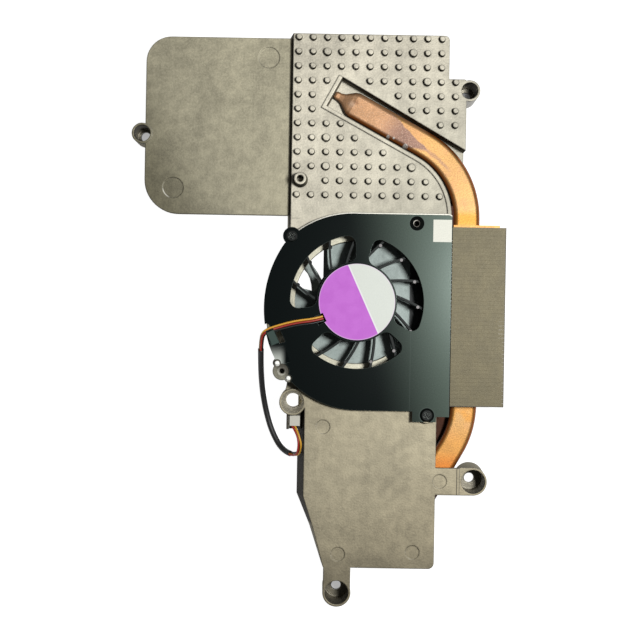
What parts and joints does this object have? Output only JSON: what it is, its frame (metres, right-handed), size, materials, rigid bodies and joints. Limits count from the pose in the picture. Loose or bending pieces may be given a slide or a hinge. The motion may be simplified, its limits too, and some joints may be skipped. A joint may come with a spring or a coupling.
{
  "type": "laptop heatsink with blower fan",
  "caption": "Stepped die-cast laptop heatsink with a pin-fin plate, a bent flat heat pipe, a side fin stack and a covered blower fan that spins.",
  "frame": {"origin": "middle of the footprint, at the level of the screw posts' feet", "axes": "+X to the fin stack's side, +Y towards the pin plate, +Z out of the side with the fan cover"},
  "size_m": [0.1106, 0.1685, 0.0165],
  "materials": {
    "casting": "die-cast, matte, slightly tarnished",
    "copper": "bare copper, tarnished",
    "fin_sheet": "folded sheet, dull",
    "cover_sheet": "dark coated sheet, satin",
    "steel": "blackened screw",
    "label_film": "two-tone film, bare",
    "label_paper": "plain white sticker",
    "impeller_plastic": "moulded",
    "motor_iron": "pressed sheet",
    "magnet": "bonded ferrite",
    "shaft_steel": "ground",
    "bearing_metal": "sintered bronze",
    "tube_brass": "turned",
    "board": "circuit board",
    "coil_wire": "enamelled copper wire",
    "wire_yellow": "insulation",
    "wire_red": "insulation",
    "wire_black": "insulation",
    "sleeve": "heat-shrink sleeve",
    "plug_plastic": "moulded plug",
    "contact_metal": "tinned contacts"
  },
  "bodies": {
    "housing": {"base_casting": "casting", "heat_pipe": "copper", "fin_base_plate": "copper", "fin_stack": "fin_sheet", "cpu_contact_plate": "copper", "fan_cover": "cover_sheet", "cover_screws": "steel", "fan_label": "label_film", "date_label": "label_paper", "bearing_tube": "tube_brass", "sleeve_bearing": "bearing_metal", "motor_board": "board", "stator_core": "motor_iron", "stator_coils": "coil_wire", "lead_yellow": "wire_yellow", "lead_red": "wire_red", "lead_black": "wire_black", "lead_sleeve": "sleeve", "lead_connector": "plug_plastic", "connector_contacts": "contact_metal"},
    "rotor": {"fan_impeller": "impeller_plastic", "rotor_yoke": "motor_iron", "rotor_magnet": "magnet", "rotor_shaft": "shaft_steel", "shaft_clip": "shaft_steel"}
  },
  "joints": [
    {"name": "fan_spin", "type": "hinge", "parent": "housing", "child": "rotor", "pos_m": [0.0121, 0.00545, 0.01], "axis": [0, 0, 1], "continuous": true}
  ]
}
